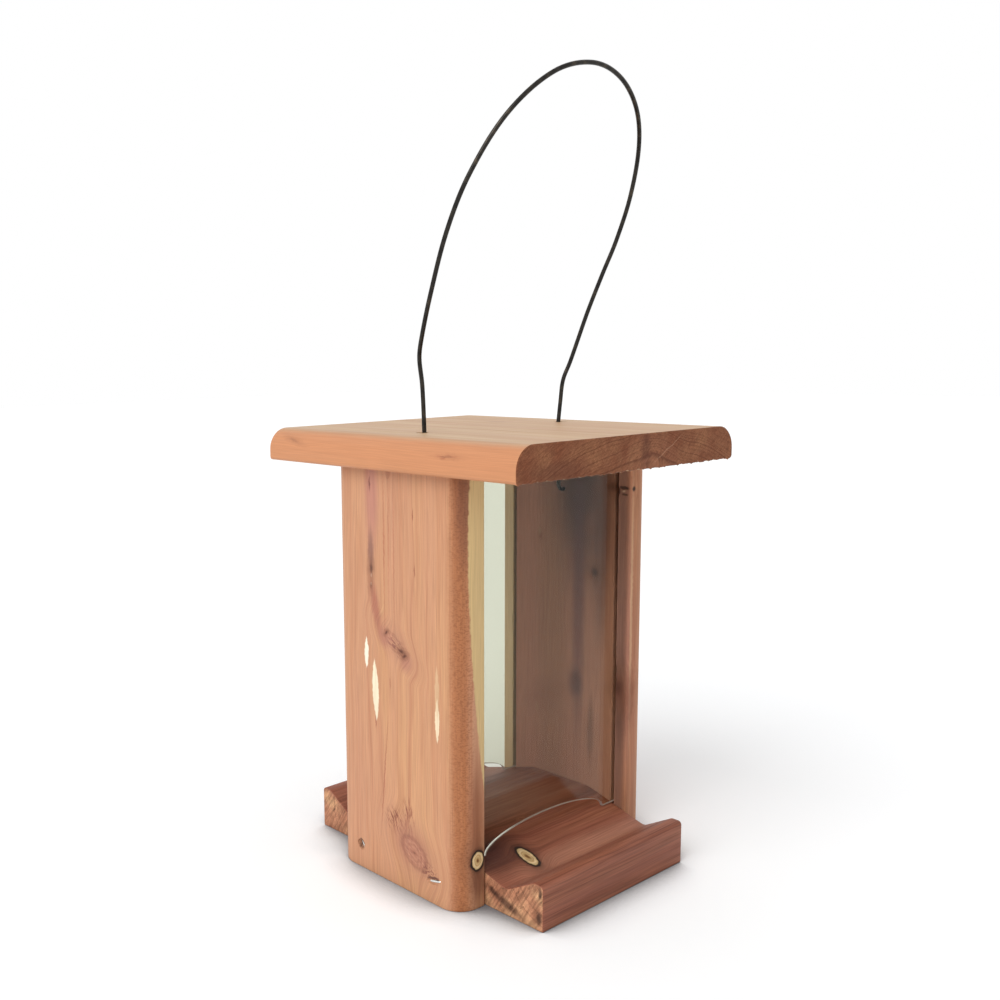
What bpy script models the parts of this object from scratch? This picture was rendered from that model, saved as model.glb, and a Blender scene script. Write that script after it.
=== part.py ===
"""Cedar hopper bird feeder: a roof board that slides up on a steel wire bail, two side panels, a milled
tray floor between them, two clear window panes in saw kerfs, and the staples that hold the tray.

Metres, +Z up. The origin is at the middle of the feeder's footprint, on the surface it stands on.
X runs from the left side panel to the right one, and -Y is the front, where one window faces.
"""

import math

import bmesh
import bpy
from mathutils import Matrix, Vector
from mathutils.geometry import interpolate_bezier

# Clearances
JOINT_GAP = 0.0003           # between pieces that touch
PANE_FACE_PLAY = 0.0005      # from a pane's face to the side of its kerf
PANE_EDGE_PLAY = 0.0005      # from a pane's edge to the bottom of its kerf
PANE_TOP_PLAY = 0.0010       # from a pane's top edge to the roof's underside

# Side panels
INNER_WIDTH = 0.1184         # clear width between the panels
PANEL_HEIGHT = 0.2280
PANEL_DEPTH = 0.0985
PANEL_THICKNESS = 0.0195
PANEL_OUTER_ROUND = 0.0130   # the two outer vertical edges
PANEL_INNER_EASE = 0.0015    # the two inner vertical edges

# Roof board
ROOF_WIDTH = 0.1745
ROOF_LENGTH = 0.1910
ROOF_THICKNESS = 0.0180
ROOF_TOP_ROUND = 0.0120      # bullnose along both long edges
ROOF_BOTTOM_ROUND = 0.0020
ROOF_HOLE_PLAY = 0.0018      # round the wire

# Tray floor: a crown in the middle, a valley in front and behind, and a lip at each outer edge
TRAY_DEPTH = 0.1770
CROWN_HEIGHT = 0.0258
CROWN_HALF_WIDTH = 0.0215
CROWN_ROUND = 0.0120
VALLEY_HEIGHT = 0.0140
VALLEY_ROUND = 0.0060
LIP_HEIGHT = 0.0244
LIP_THICKNESS = 0.0063       # flat top of a lip
LIP_SLOPE_RUN = 0.0187       # from a lip's top to where the two slopes of its valley meet
LIP_INNER_ROUND = 0.0030
LIP_OUTER_ROUND = 0.0022
TRAY_BOTTOM_EASE = 0.0008

# Window panes and their kerfs
KERF_DEPTH = 0.0065
KERF_INSET = 0.0098          # from a panel's front or back edge to the middle of the kerf
PANE_THICKNESS = 0.0022
PORT_FOOT = 0.0097           # from a panel's inner face to the seed port's arch
PORT_RISE = 0.0115           # the port is half an ellipse cut in the pane's bottom edge

# Wire bail
WIRE_DIAMETER = 0.0024
WIRE_INSET = 0.0049          # from a panel's inner face to the middle of the wire's leg
WIRE_BEND_RADIUS = 0.0035
WIRE_END_DEPTH = 0.0110      # length of a wire end inside its panel
WIRE_SOCKET_PLAY = 0.0003    # round a wire end, and beyond its tip
WIRE_SOCKET_DROP = 0.0220    # from a panel's top to the middle of its socket
WIRE_POINT_SPACING = 0.0060
ROOF_HOLE_OFFSET = 0.0014    # from the wire's leg outwards to the middle of the roof's hole

# The bail above the roof, from left to right: X as a share of the legs' half spacing, Y, height over the roof.
BAIL_ROUTE = (
    (-1.000, 0.0000, 0.000),
    (-1.010, 0.0000, 0.014),
    (-1.030, -0.0003, 0.026),
    (-1.078, -0.0012, 0.039),
    (-1.116, -0.0050, 0.0485),
    (-1.166, -0.0150, 0.071),
    (-1.184, -0.0280, 0.101),
    (-1.109, -0.0396, 0.127),
    (-0.862, -0.0520, 0.155),
    (-0.442, -0.0610, 0.1755),
    (0.018, -0.0644, 0.1828),
    (0.460, -0.0631, 0.1797),
    (0.847, -0.0580, 0.168),
    (1.096, -0.0503, 0.151),
    (1.241, -0.0394, 0.1265),
    (1.267, -0.0290, 0.103),
    (1.225, -0.0215, 0.085),
    (1.182, -0.0130, 0.064),
    (1.140, -0.0070, 0.046),
    (1.103, -0.0038, 0.0350),
    (1.051, -0.0010, 0.0245),
    (1.025, -0.0003, 0.012),
    (1.000, 0.0000, 0.000),
)

# Staples, two through each panel into the tray's end grain
STAPLE_CROWN = 0.0095
STAPLE_LEG = 0.0380
STAPLE_WIRE = 0.0014
STAPLE_SINK = 0.0006         # from the panel's face to the crown
STAPLE_SLOT_MOUTH = 0.0020   # how far a slot's cutter stands out of the panel
STAPLE_PLACES = {            # side in Y, distance from that edge of the panel, height, tilt in degrees
    "front": (-1, 0.0183, 0.0127, -13.0),
    "back": (1, 0.0203, 0.0135, 62.0),
}

CEDAR_LIGHT = (0.62, 0.36, 0.22, 1.0)
CEDAR_ROOF = (0.58, 0.37, 0.24, 1.0)
CEDAR_DARK = (0.33, 0.15, 0.09, 1.0)
CLEAR_ACRYLIC = (0.86, 0.90, 0.84, 0.25)
DARK_STEEL = (0.07, 0.07, 0.06, 1.0)
GALVANISED = (0.62, 0.64, 0.62, 1.0)

half_inner = INNER_WIDTH / 2
roof_underside = PANEL_HEIGHT + JOINT_GAP
roof_top = roof_underside + ROOF_THICKNESS
kerf_distance = PANEL_DEPTH / 2 - KERF_INSET
valley_distance = TRAY_DEPTH / 2 - LIP_THICKNESS - LIP_SLOPE_RUN
leg_distance = half_inner - WIRE_INSET
socket_height = PANEL_HEIGHT - WIRE_SOCKET_DROP


def clear_scene():
    for item in list(bpy.data.objects):
        bpy.data.objects.remove(item, do_unlink=True)


def new_collection(name):
    collection = bpy.data.collections.new(name)
    bpy.context.scene.collection.children.link(collection)
    return collection


def principled(name, colour, roughness, metallic=0.0):
    material = bpy.data.materials.new(name)
    material.use_nodes = True
    shader = material.node_tree.nodes["Principled BSDF"]
    shader.inputs["Base Color"].default_value = colour
    shader.inputs["Alpha"].default_value = colour[3]
    shader.inputs["Roughness"].default_value = roughness
    shader.inputs["Metallic"].default_value = metallic
    return material


def rounded(corners):
    """An outline through corners (a, b, radius), each rounded with an arc of its radius."""
    points = []
    for index, (a, b, radius) in enumerate(corners):
        corner = Vector((a, b))
        if radius == 0:
            points.append(corner)
            continue
        before = (Vector(corners[index - 1][:2]) - corner).normalized()
        after = (Vector(corners[(index + 1) % len(corners)][:2]) - corner).normalized()
        half_angle = before.angle(after) / 2
        centre = corner + (before + after).normalized() * radius / math.sin(half_angle)
        start = corner + before * radius / math.tan(half_angle) - centre
        sweep = math.pi - 2 * half_angle
        steps = max(2, round(math.degrees(sweep) / 15))
        turn = math.copysign(1, before.cross(after))
        for step in range(steps + 1):
            points.append(centre + Matrix.Rotation(-turn * sweep * step / steps, 2) @ start)
    return points


def prism(name, outline, length, axes):
    """A mesh of the outline swept by length, centred along the sweep. Axes holds the world directions of
    the outline's two coordinates and of the sweep."""
    frame = Matrix([Vector(axis) for axis in axes]).transposed()
    mesh_maker = bmesh.new()
    base = [mesh_maker.verts.new(frame @ Vector((a, b, -length / 2))) for a, b in outline]
    face = mesh_maker.faces.new(base)
    swept = bmesh.ops.extrude_face_region(mesh_maker, geom=[face])
    moved = [item for item in swept["geom"] if isinstance(item, bmesh.types.BMVert)]
    bmesh.ops.translate(mesh_maker, verts=moved, vec=frame @ Vector((0, 0, length)))
    bmesh.ops.recalc_face_normals(mesh_maker, faces=mesh_maker.faces)
    mesh = bpy.data.meshes.new(name)
    mesh_maker.to_mesh(mesh)
    mesh_maker.free()
    mesh.shade_smooth()
    mesh.set_sharp_from_angle(angle=math.radians(30))
    return mesh


def rod(name, diameter, length):
    """A cylinder mesh along Z, centred."""
    mesh_maker = bmesh.new()
    bmesh.ops.create_cone(
        mesh_maker, cap_ends=True, segments=32, radius1=diameter / 2, radius2=diameter / 2, depth=length
    )
    mesh = bpy.data.meshes.new(name)
    mesh_maker.to_mesh(mesh)
    mesh_maker.free()
    mesh.shade_smooth()
    mesh.set_sharp_from_angle(angle=math.radians(30))
    return mesh


def place(name, data, collection, material=None, location=(0, 0, 0), rotation=(0, 0, 0)):
    piece = bpy.data.objects.new(name, data)
    collection.objects.link(piece)
    piece.location = location
    piece.rotation_euler = rotation
    if material:
        data.materials.append(material)
    return piece


def place_cutter(name, mesh, location, rotation=(0, 0, 0)):
    cutter = place(name, mesh, cutters, None, location, rotation)
    cutter.hide_render = True
    cutter.display_type = "WIRE"
    return cutter


def cut(piece, cutter):
    modifier = piece.modifiers.new("cut " + cutter.name, "BOOLEAN")
    modifier.operation = "DIFFERENCE"
    modifier.solver = "EXACT"
    modifier.object = cutter


def floor_height(distance):
    """Height of the tray's sloping floor at this distance in front of or behind its middle."""
    share = (distance - CROWN_HALF_WIDTH) / (valley_distance - CROWN_HALF_WIDTH)
    return CROWN_HEIGHT + share * (VALLEY_HEIGHT - CROWN_HEIGHT)


def panel_outline(side):
    """Seen from above, about the panel's middle: side is 1 for the right panel and -1 for the left."""
    inner = -PANEL_THICKNESS / 2
    outer = PANEL_THICKNESS / 2
    edge = PANEL_DEPTH / 2
    half_kerf = PANE_THICKNESS / 2 + PANE_FACE_PLAY
    floor = inner + KERF_DEPTH
    half = [
        (inner, kerf_distance - half_kerf, 0),
        (floor, kerf_distance - half_kerf, 0),
        (floor, kerf_distance + half_kerf, 0),
        (inner, kerf_distance + half_kerf, 0),
        (inner, edge, PANEL_INNER_EASE),
        (outer, edge, PANEL_OUTER_ROUND),
    ]
    mirrored = [(x, -y, radius) for x, y, radius in reversed(half)]
    return [Vector((side * point.x, point.y)) for point in rounded(half + mirrored)]


def make_panel(name, side):
    mesh = prism(name, panel_outline(side), PANEL_HEIGHT, ((1, 0, 0), (0, 1, 0), (0, 0, 1)))
    middle = side * (half_inner + PANEL_THICKNESS / 2)
    panel = place(name, mesh, feeder, cedar_light, (middle, 0, PANEL_HEIGHT / 2))
    socket_depth = WIRE_END_DEPTH + WIRE_SOCKET_PLAY
    socket = place_cutter(
        name + "_socket_cutter",
        rod(name + "_socket", WIRE_DIAMETER + 2 * WIRE_SOCKET_PLAY, 2 * socket_depth),
        (side * half_inner, 0, socket_height),
        (0, math.pi / 2, 0),
    )
    cut(panel, socket)
    return panel


def make_tray():
    half = [
        (TRAY_DEPTH / 2, 0, TRAY_BOTTOM_EASE),
        (TRAY_DEPTH / 2, LIP_HEIGHT, LIP_OUTER_ROUND),
        (TRAY_DEPTH / 2 - LIP_THICKNESS, LIP_HEIGHT, LIP_INNER_ROUND),
        (valley_distance, VALLEY_HEIGHT, VALLEY_ROUND),
        (CROWN_HALF_WIDTH, CROWN_HEIGHT, CROWN_ROUND),
    ]
    mirrored = [(-y, z, radius) for y, z, radius in reversed(half)]
    length = INNER_WIDTH - 2 * JOINT_GAP
    mesh = prism("tray_floor", rounded(half + mirrored), length, ((0, 1, 0), (0, 0, 1), (1, 0, 0)))
    return place("tray_floor", mesh, feeder, cedar_dark)


def make_roof():
    half = [
        (ROOF_WIDTH / 2, 0, ROOF_BOTTOM_ROUND),
        (ROOF_WIDTH / 2, ROOF_THICKNESS, ROOF_TOP_ROUND),
    ]
    mirrored = [(-x, z, radius) for x, z, radius in reversed(half)]
    mesh = prism("roof", rounded(half + mirrored), ROOF_LENGTH, ((1, 0, 0), (0, 0, 1), (0, -1, 0)))
    roof = place("roof", mesh, feeder, cedar_roof, (0, 0, roof_underside))
    for word, side in (("left", -1), ("right", 1)):
        hole = place_cutter(
            "roof_hole_cutter_" + word,
            rod("roof_hole_" + word, WIRE_DIAMETER + 2 * ROOF_HOLE_PLAY, 2 * ROOF_THICKNESS),
            (side * (leg_distance + ROOF_HOLE_OFFSET), 0, roof_underside + ROOF_THICKNESS / 2),
        )
        cut(roof, hole)
    return roof


def make_pane(name, side):
    """Side is -1 for the front pane and 1 for the back one."""
    inner_edge = kerf_distance - PANE_THICKNESS / 2
    bottom = floor_height(inner_edge) + JOINT_GAP
    top = PANEL_HEIGHT - PANE_TOP_PLAY
    half_width = half_inner + KERF_DEPTH - PANE_EDGE_PLAY
    port_half_width = half_inner - PORT_FOOT
    steps = 24
    outline = [(half_width, 0), (half_width, top - bottom), (-half_width, top - bottom), (-half_width, 0)]
    for step in range(steps + 1):
        angle = math.pi * (1 - step / steps)
        outline.append((port_half_width * math.cos(angle), PORT_RISE * math.sin(angle)))
    mesh = prism(name, outline, PANE_THICKNESS, ((1, 0, 0), (0, 0, 1), (0, -1, 0)))
    return place(name, mesh, feeder, clear_acrylic, (0, side * kerf_distance, bottom))


def wire_end(side):
    """Centre line from the tip inside the panel, round the bend and up the leg to just under the roof's top."""
    tip = half_inner + WIRE_END_DEPTH
    bend_start = leg_distance + WIRE_BEND_RADIUS
    points = [Vector((side * tip, 0, socket_height))]
    steps = 5
    for step in range(steps + 1):
        angle = math.pi / 2 * step / steps
        across = bend_start - WIRE_BEND_RADIUS * math.sin(angle)
        up = socket_height + WIRE_BEND_RADIUS * (1 - math.cos(angle))
        points.append(Vector((side * across, 0, up)))
    points.append(Vector((side * leg_distance, 0, roof_underside)))
    return points


def smooth_route(knots, spacing):
    """Points about this far apart on a smooth curve through the knots."""
    points = [knots[0]]
    for index in range(len(knots) - 1):
        start, end = knots[index], knots[index + 1]
        before = knots[max(index - 1, 0)]
        after = knots[min(index + 2, len(knots) - 1)]
        reach = (end - start).length / 3
        leave = start + (end - before).normalized() * reach
        arrive = end - (after - start).normalized() * reach
        count = max(2, round((end - start).length / spacing) + 1)
        points += interpolate_bezier(start, leave, arrive, end, count)[1:]
    return points


def make_bail():
    knots = [Vector((share * leg_distance, y, roof_top + height)) for share, y, height in BAIL_ROUTE]
    route = wire_end(-1) + smooth_route(knots, WIRE_POINT_SPACING) + wire_end(1)[::-1]
    curve = bpy.data.curves.new("wire_bail", "CURVE")
    curve.dimensions = "3D"
    curve.bevel_depth = WIRE_DIAMETER / 2
    curve.bevel_resolution = 2
    curve.use_fill_caps = True
    spline = curve.splines.new("POLY")
    spline.points.add(len(route) - 1)
    for point, position in zip(spline.points, route):
        point.co = (*position, 1)
    return place("wire_bail", curve, feeder, dark_steel)


def staple_outline(play, mouth):
    """A crown along the first coordinate with two legs along the second. With play it is the slot's outline."""
    half = STAPLE_CROWN / 2 + play
    inner = STAPLE_CROWN / 2 - STAPLE_WIRE - play
    depth = STAPLE_WIRE + play
    leg = STAPLE_LEG + play
    return [
        (-half, -mouth), (half, -mouth), (half, leg), (inner, leg),
        (inner, depth), (-inner, depth), (-inner, leg), (-half, leg),
    ]


def make_staples(panel, side_word, side, tray):
    axes = ((0, 1, 0), (-side, 0, 0), (0, 0, 1))
    face = side * (half_inner + PANEL_THICKNESS - STAPLE_SINK)
    for place_word, (end, inset, z, tilt) in STAPLE_PLACES.items():
        name = "staple_" + side_word + "_" + place_word
        y = end * (PANEL_DEPTH / 2 - inset)
        turn = (math.radians(tilt), 0, 0)
        staple = prism(name, staple_outline(0, 0), STAPLE_WIRE, axes)
        place(name, staple, feeder, galvanised, (face, y, z), turn)
        slot_mesh = prism(
            name + "_slot", staple_outline(JOINT_GAP, STAPLE_SLOT_MOUTH), STAPLE_WIRE + 2 * JOINT_GAP, axes
        )
        slot = place_cutter(name + "_slot_cutter", slot_mesh, (face, y, z), turn)
        cut(panel, slot)
        cut(tray, slot)


clear_scene()
feeder = new_collection("hanging_bird_feeder")
cutters = new_collection("cutters")
cedar_light = principled("cedar side panels", CEDAR_LIGHT, 0.6)
cedar_roof = principled("cedar roof", CEDAR_ROOF, 0.6)
cedar_dark = principled("cedar tray", CEDAR_DARK, 0.65)
clear_acrylic = principled("clear acrylic", CLEAR_ACRYLIC, 0.08)
dark_steel = principled("dark steel wire", DARK_STEEL, 0.45, 1.0)
galvanised = principled("galvanised steel", GALVANISED, 0.35, 1.0)

tray_floor = make_tray()
for side_word, side in (("left", -1), ("right", 1)):
    panel = make_panel("side_panel_" + side_word, side)
    make_staples(panel, side_word, side, tray_floor)
make_roof()
make_pane("window_front", -1)
make_pane("window_back", 1)
make_bail()
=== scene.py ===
# A hanging cedar bird feeder: the looks of its boards, panes, wire bail and staples.
# Shapes are worked out in millimetres and put into the meshes in metres.
import math

import bmesh
import bpy
import numpy as np
from mathutils import Matrix, Vector


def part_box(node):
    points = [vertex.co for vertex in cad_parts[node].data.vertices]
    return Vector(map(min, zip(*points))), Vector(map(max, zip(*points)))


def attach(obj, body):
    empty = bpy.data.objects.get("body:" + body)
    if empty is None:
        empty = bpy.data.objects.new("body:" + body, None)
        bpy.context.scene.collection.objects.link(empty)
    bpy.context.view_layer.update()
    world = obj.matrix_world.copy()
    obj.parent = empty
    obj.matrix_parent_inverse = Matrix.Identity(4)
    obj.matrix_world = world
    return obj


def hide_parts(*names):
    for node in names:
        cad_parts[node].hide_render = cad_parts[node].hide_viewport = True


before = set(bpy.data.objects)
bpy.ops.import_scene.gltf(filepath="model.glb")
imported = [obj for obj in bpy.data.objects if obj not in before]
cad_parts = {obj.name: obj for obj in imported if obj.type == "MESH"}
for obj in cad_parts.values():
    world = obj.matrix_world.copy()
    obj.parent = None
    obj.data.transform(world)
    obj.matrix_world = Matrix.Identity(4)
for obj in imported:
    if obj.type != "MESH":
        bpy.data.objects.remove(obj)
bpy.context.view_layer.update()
mm = 0.001
print("frame loaded:", len(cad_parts), "nodes")


def boxOf(node):
    # lowest and highest corner of a CAD node, in millimetres
    return [np.array(corner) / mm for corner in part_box(node)]


cameraLook = {
    "azimuth": -40.19,                   # degrees round the feeder: 0 looks along +Y
    "elevation": 8.30,
    "roll": -0.90,
    "place": (-460.9, -434.4, 288.3),
    "lens": 40.31,
    "sensor": 36.0,
    "shift": (0.1314, 0.0166),
}
studio = {
    "backdrop": "#FFFFFF",               # what the camera sees beyond the floor
    "fill": 0.66,                        # how strongly the same backdrop lights the feeder
    "sunFrom": (-0.75, -0.10, 0.65),     # the soft key light stands high to the left
    "sunStrength": 1.75,
    "sunAngle": 48.0,                    # degrees across: a wide, soft source
    "floor": "#F6F7F8",
    "floorGlow": 0.13,                   # the floor is a light table, so it stays white
    "floorRoughness": 0.95,
    "floorSize": 12000.0,
    "contactShadowReach": 38.0,                # how far out the painted contact shadow darkens the floor round what stands on it
    # the painted contact shadow's tone at the foot, and its lighter tone further out
    "contactShadowTone": "#6E6E70",
    "nearShadowTone": "#CFD0D1",
}


def addCamera():
    azimuth, elevation, roll = [math.radians(cameraLook[key]) for key in ("azimuth", "elevation", "roll")]
    flat = math.cos(elevation)
    back = Vector((math.sin(azimuth) * flat, -math.cos(azimuth) * flat, math.sin(elevation)))
    level = (-back).cross(Vector((0, 0, 1))).normalized()
    upright = level.cross(-back)
    right = level * math.cos(roll) + upright * math.sin(roll)
    up = upright * math.cos(roll) - level * math.sin(roll)
    lens = bpy.data.cameras.new("camera")
    lens.lens = cameraLook["lens"]
    lens.sensor_width = cameraLook["sensor"]
    lens.shift_x, lens.shift_y = cameraLook["shift"]
    camera = bpy.data.objects.new("camera", lens)
    bpy.context.scene.collection.objects.link(camera)
    turn = Matrix((right, up, back)).transposed().to_4x4()
    camera.matrix_world = Matrix.Translation(Vector(cameraLook["place"]) * mm) @ turn
    bpy.context.scene.camera = camera


def linearColour(hexColour, alpha=1.0):
    # an sRGB hex colour as linear values
    shares = [int(hexColour[start:start + 2], 16) / 255 for start in (1, 3, 5)]
    return (*[s / 12.92 if s <= 0.04045 else ((s + 0.055) / 1.055) ** 2.4 for s in shares], alpha)


def addNode(tree, kind, inputs=None, stops=None, **settings):
    # a node with its settings; an input takes a plain value, an output socket, or a node's first live output
    node = tree.nodes.new("ShaderNode" + kind)
    for key, value in settings.items():
        setattr(node, key, value)
    for key, value in (inputs or {}).items():
        if isinstance(key, str):
            socket = next(s for s in node.inputs if s.enabled and s.name == key)
        else:
            socket = node.inputs[key]
        if isinstance(value, bpy.types.Node):
            value = next(s for s in value.outputs if s.enabled)
        if isinstance(value, bpy.types.NodeSocket):
            tree.links.new(value, socket)
        else:
            socket.default_value = value
    if stops:
        ramp = node.color_ramp.elements
        while len(ramp) < len(stops):
            ramp.new(1.0)
        for element, (position, hexColour, alpha) in zip(ramp, stops):
            element.position = position
            element.color = linearColour(hexColour, alpha)
    return node


def newMaterial(name):
    material = bpy.data.materials.new(name)
    material.use_nodes = True
    tree = material.node_tree
    return material, tree, tree.nodes["Principled BSDF"]


def addStudio():
    scene = bpy.context.scene
    scene.view_settings.view_transform = "Standard"
    scene.world = bpy.data.worlds.new("studio")
    scene.world.use_nodes = True
    tree = scene.world.node_tree
    background = tree.nodes["Background"]
    background.inputs["Color"].default_value = linearColour(studio["backdrop"])
    # seen directly, through the panes or in a gloss the backdrop is white; its light on the feeder is dimmer
    ray = addNode(tree, "LightPath").outputs
    seen = addNode(tree, "Math", {0: ray["Is Camera Ray"], 1: ray["Is Transmission Ray"]}, operation="MAXIMUM")
    seen = addNode(tree, "Math", {0: seen, 1: ray["Is Glossy Ray"]}, operation="MAXIMUM")
    strength = addNode(tree, "MapRange", {"Value": seen, "To Min": studio["fill"], "To Max": 1.0})
    tree.links.new(strength.outputs[0], background.inputs["Strength"])
    sun = bpy.data.lights.new("soft key", "SUN")
    sun.energy = studio["sunStrength"]
    sun.angle = math.radians(studio["sunAngle"])
    lamp = bpy.data.objects.new("soft key", sun)
    scene.collection.objects.link(lamp)
    lamp.rotation_euler = Vector(studio["sunFrom"]).to_track_quat("Z", "Y").to_euler()
    # matte paper: pale, with no gloss
    paper, tree, shader = newMaterial("matte paper floor")
    # painted contact shadow: the feeder hides half the sky from the floor beside it, and there the paper's colour and
    # glow are painted down to the contact tone
    nearby = addNode(tree, "AmbientOcclusion", {"Distance": studio["contactShadowReach"] * mm}, samples=8).outputs["AO"]
    tone = addNode(tree, "ValToRGB", {"Fac": nearby}, stops=[
        (0.45, studio["contactShadowTone"], 1), (0.64, studio["nearShadowTone"], 1), (0.84, studio["floor"], 1),
    ])
    tree.links.new(tone.outputs[0], shader.inputs["Base Color"])
    tree.links.new(tone.outputs[0], shader.inputs["Emission Color"])
    shader.inputs["Roughness"].default_value = studio["floorRoughness"]
    shader.inputs["Emission Strength"].default_value = studio["floorGlow"]
    half = studio["floorSize"] / 2 * mm
    mesh = bpy.data.meshes.new("floor")
    mesh.from_pydata([(-half, -half, 0), (half, -half, 0), (half, half, 0), (-half, half, 0)], [], [(0, 1, 2, 3)])
    mesh.materials.append(paper)
    floor = bpy.data.objects.new("floor", mesh)
    scene.collection.objects.link(floor)


addCamera()
addStudio()
print("camera, light and floor made")

# cedar is drawn in the solid: rings round a pith, fibres, knots, sapwood and stains;
# this is what every board shares, with lengths in millimetres
cedarGrain = {
    "waverScale": 0.35, "waverReach": 1.6,       # marks' outlines waver by up to 0.8 over about 3
    "knotPull": 3.6,                             # how far a knot bends the grain, in its own radii
    "driftSize": (34, 34, 150),                  # rings wander over this distance, across and along
    "yearPace": 0.13, "yearSwing": 3.0,          # good and poor years: how often, and by how many rings
    "quietYear": 0.18, "yearSpread": 1.6,        # a quiet year's line strength, and how rare strong ones are
    "fine": (0.55, 0.55, 30.0),                  # single fibres, drawn coarse enough to show
    "streak": (2.4, 2.4, 90.0),
    "broad": (13.0, 13.0, 170.0),
    "furrow": 0.09,                              # depth of the planed surface's furrows
    "fleckEdge": 0.86,
}
# one year from its start to its end: white is the dark latewood
yearTone = [
    (0.00, "#888888", 1), (0.07, "#000000", 1), (0.45, "#101010", 1),
    (0.72, "#5A5A5A", 1), (0.92, "#FFFFFF", 1), (1.00, "#E6E6E6", 1),
]
# each knot kind's colours from its centre outwards: distance in knot radii, colour, opacity
knotReach = 3.0
knotKinds = {
    # a dead branch in its black bark: pale wood inside
    "pale": [
        (0.00, "#5A3820", 1.0), (0.13, "#7A5230", 1.0), (0.24, "#AE8A58", 1.0), (0.40, "#CDB07E", 1.0),
        (0.52, "#B9925F", 1.0), (0.64, "#DDC598", 1.0), (0.82, "#CDAE7C", 1.0), (0.90, "#2A1A12", 1.0),
        (1.05, "#1E120C", 1.0), (1.16, "#3E2419", 0.6), (1.50, "#4E2C20", 0.25), (3.00, "#5A3326", 0.0),
    ],
    # a live branch: its wood runs into the board's, rosy brown with purple rings
    "live": [
        (0.00, "#5E3226", 1.0), (0.10, "#96604E", 0.8), (0.34, "#AE7863", 0.7), (0.50, "#94604F", 0.7),
        (0.62, "#B07B66", 0.6), (0.80, "#945E4F", 0.65), (0.96, "#7E4C42", 0.6), (1.12, "#9C6757", 0.4),
        (3.00, "#A47060", 0.0),
    ],
    # a pin knot: a dark speck with a smoky trail
    "pin": [
        (0.00, "#4A2A1C", 0.95), (0.50, "#5E3324", 0.85), (1.00, "#7A4A34", 0.5), (3.00, "#9A6A4C", 0.0),
    ],
}


def mark(at, radii, look, share=1.0, turn=0, **more):
    # a knot, stain or fleck: its middle, its radii, its kind or colour, how strongly it shows, and its turn in
    # degrees, about X or about each axis
    turn = turn if isinstance(turn, tuple) else (turn, 0, 0)
    return {"at": at, "radii": radii, "look": look, "share": share, "turn": turn, **more}


def ownFrame(tree, place, spot):
    # the place in a mark's own frame, and its distance from the middle there: 1 is the mark's edge
    local = addNode(tree, "Mapping", {
        "Vector": place, "Location": spot["at"], "Scale": spot["radii"],
        "Rotation": [math.radians(angle) for angle in spot["turn"]],
    }, vector_type="TEXTURE")
    return local, addNode(tree, "VectorMath", {0: local}, operation="LENGTH").outputs["Value"]


def patchy(tree, place, size, detail=2.0, roughness=0.5):
    # noise whose patches have this size along each axis
    stretched = addNode(tree, "VectorMath", {0: place, 1: [1 / length for length in size]}, operation="MULTIPLY")
    return addNode(tree, "TexNoise", {
        "Vector": stretched, "Scale": 1.0, "Detail": detail, "Roughness": roughness})


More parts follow.
